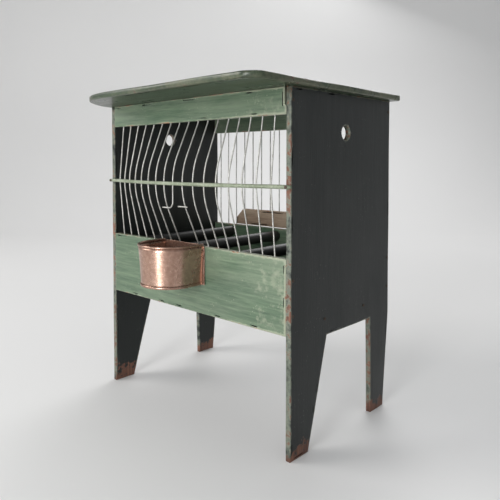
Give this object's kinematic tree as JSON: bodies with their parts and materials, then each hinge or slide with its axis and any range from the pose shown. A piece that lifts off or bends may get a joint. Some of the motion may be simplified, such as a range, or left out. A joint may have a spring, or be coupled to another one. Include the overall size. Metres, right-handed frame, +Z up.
{
  "type": "bird cage",
  "caption": "Painted wooden bird cage on four tapered legs, with a bowed wire front, straight wire back, deep flat roof, deep round-fronted tin feed cup and a hinged rear flap.",
  "frame": {"origin": "on the floor under the middle of the roof board, which is the widest piece", "axes": "+Z up, -Y out of the bowed wire front, +X to the right seen from the front"},
  "size_m": [0.269, 0.2154, 0.306],
  "materials": {
    "green_paint": "worn green brushed paint over wood",
    "side_paint": "worn, nearly black green paint over wood",
    "roof_paint": "worn green paint over wood",
    "black_wood": "black, matt",
    "bare_wood": "bare, stained",
    "steel_wire": "dull",
    "painted_bar": "worn paint",
    "cup_tin": "rust-brown, half gloss",
    "iron": "rusty"
  },
  "bodies": {
    "cage": {"back_lower_board": "green_paint", "back_top_rail": "green_paint", "back_wire_01": "steel_wire", "back_wire_02": "steel_wire", "back_wire_03": "steel_wire", "back_wire_04": "steel_wire", "back_wire_05": "steel_wire", "back_wire_06": "steel_wire", "back_wire_07": "steel_wire", "back_wire_08": "steel_wire", "back_wire_09": "steel_wire", "back_wire_10": "steel_wire", "back_wire_11": "steel_wire", "bow_bar": "painted_bar", "bow_bar_nails": "iron", "door_hinge_wire": "steel_wire", "feed_cross_wire": "steel_wire", "floor_board": "green_paint", "front_lower_board": "green_paint", "front_top_rail": "green_paint", "front_wire_01": "steel_wire", "front_wire_02": "steel_wire", "front_wire_03": "steel_wire", "front_wire_04": "steel_wire", "front_wire_05": "steel_wire", "front_wire_06": "steel_wire", "front_wire_07": "steel_wire", "front_wire_08": "steel_wire", "front_wire_09": "steel_wire", "front_wire_10": "steel_wire", "front_wire_11": "steel_wire", "front_wire_12": "steel_wire", "front_wire_13": "steel_wire", "front_wire_14": "steel_wire", "front_wire_15": "steel_wire", "front_wire_16": "steel_wire", "front_wire_17": "steel_wire", "hinge_staples": "iron", "perch_left": "black_wood", "perch_middle": "black_wood", "perch_right": "black_wood", "roof_board": "roof_paint", "roof_nails": "iron", "side_board_left": "side_paint", "side_board_right": "side_paint", "side_nails": "iron"},
    "rear_door": {"door_bar": "bare_wood", "door_wire_1": "steel_wire", "door_wire_2": "steel_wire", "door_wire_3": "steel_wire", "door_wire_4": "steel_wire", "door_wire_5": "steel_wire", "door_wire_6": "steel_wire"},
    "feed_cup": {"cup_back_plate": "cup_tin", "cup_base": "cup_tin", "cup_hooks": "cup_tin", "cup_rim": "cup_tin", "cup_wall": "cup_tin"}
  },
  "joints": [
    {"name": "rear_door_swing", "type": "hinge", "parent": "cage", "child": "rear_door", "pos_m": [-0.03475, 0.10348, 0.285], "axis": [1, 0, 0], "range_deg": [0, 80]},
    {"name": "feed_cup_lift", "type": "slide", "parent": "cage", "child": "feed_cup", "axis": [0, 0, 1], "range_m": [0, 0.005]}
  ]
}
